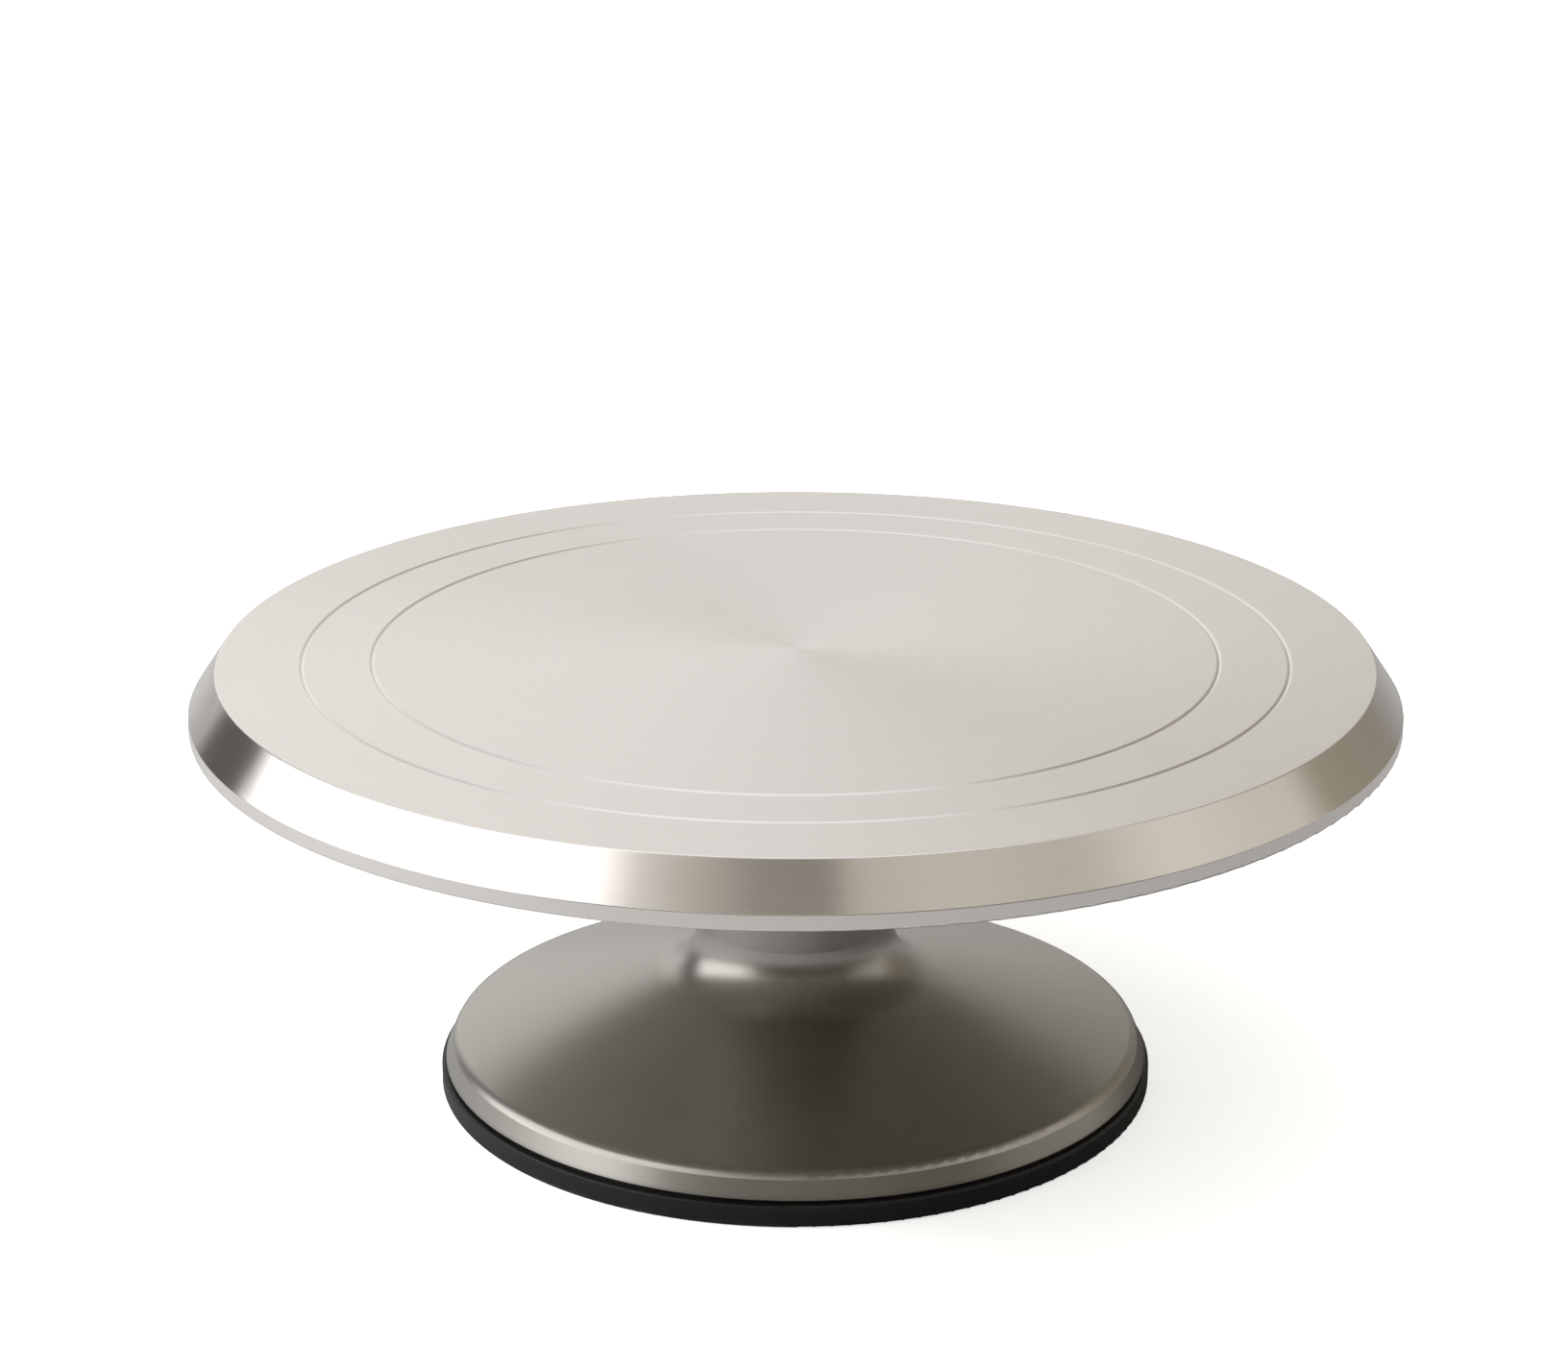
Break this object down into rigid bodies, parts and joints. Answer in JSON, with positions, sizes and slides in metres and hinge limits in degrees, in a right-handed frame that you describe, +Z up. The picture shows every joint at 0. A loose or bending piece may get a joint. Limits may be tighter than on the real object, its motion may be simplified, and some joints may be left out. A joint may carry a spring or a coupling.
{
  "type": "cake turntable",
  "caption": "Round bevelled aluminium plate on a ball-bearing spindle, spinning freely on a trumpet-shaped pedestal with a rubber foot ring.",
  "frame": {"origin": "on the surface that the foot stands on, on the spindle's axis", "axes": "+Z up along the spindle's axis; X and Y are level, and the part is round about Z"},
  "size_m": [0.305, 0.305, 0.116],
  "materials": {
    "turned_aluminium": "fine concentric turning lines, satin to bright",
    "satin_aluminium": "smooth satin, slightly darker than the plate",
    "machined_aluminium": "turned, unpolished",
    "ground_steel": "ground",
    "bearing_steel": "polished",
    "pressed_steel": "pressed sheet",
    "spring_steel": "dark phosphated",
    "zinc_steel": "zinc plated",
    "black_oxide_steel": "black oxide",
    "black_rubber": "moulded, matt",
    "felt": "pressed wool felt",
    "black_plastic": "moulded, fine texture"
  },
  "bodies": {
    "base": {"bearing_housing": "machined_aluminium", "housing_set_screws": "black_oxide_steel", "bearing_circlips": "spring_steel", "wave_washer": "spring_steel", "dust_seal": "felt", "dust_cap": "black_plastic", "base_bell": "satin_aluminium", "foot_ring": "black_rubber", "upper_bearing_outer_race": "bearing_steel", "upper_bearing_shields": "pressed_steel", "lower_bearing_outer_race": "bearing_steel", "lower_bearing_shields": "pressed_steel"},
    "turntable": {"turntable_plate": "turned_aluminium", "hub_flange": "machined_aluminium", "hub_screws": "zinc_steel", "hub_screw_washers": "zinc_steel", "spindle": "ground_steel", "inner_spacer_sleeve": "ground_steel", "spindle_washer": "zinc_steel", "spindle_circlip": "spring_steel", "upper_bearing_inner_race": "bearing_steel", "lower_bearing_inner_race": "bearing_steel"},
    "upper_cage": {"upper_bearing_cage": "pressed_steel", "upper_bearing_balls": "bearing_steel"},
    "lower_cage": {"lower_bearing_cage": "pressed_steel", "lower_bearing_balls": "bearing_steel"}
  },
  "joints": [
    {"name": "plate_spin", "type": "hinge", "parent": "base", "child": "turntable", "pos_m": [0, 0, 0.0895], "axis": [0, 0, 1], "continuous": true},
    {"name": "upper_cage_spin", "type": "hinge", "parent": "base", "child": "upper_cage", "pos_m": [0, 0, 0.0895], "axis": [0, 0, 1], "continuous": true},
    {"name": "lower_cage_spin", "type": "hinge", "parent": "base", "child": "lower_cage", "pos_m": [0, 0, 0.0595], "axis": [0, 0, 1], "continuous": true}
  ],
  "couplings": [
    {"joint": "upper_cage_spin", "follows": "plate_spin", "ratio": 0.38094},
    {"joint": "lower_cage_spin", "follows": "plate_spin", "ratio": 0.38094}
  ]
}
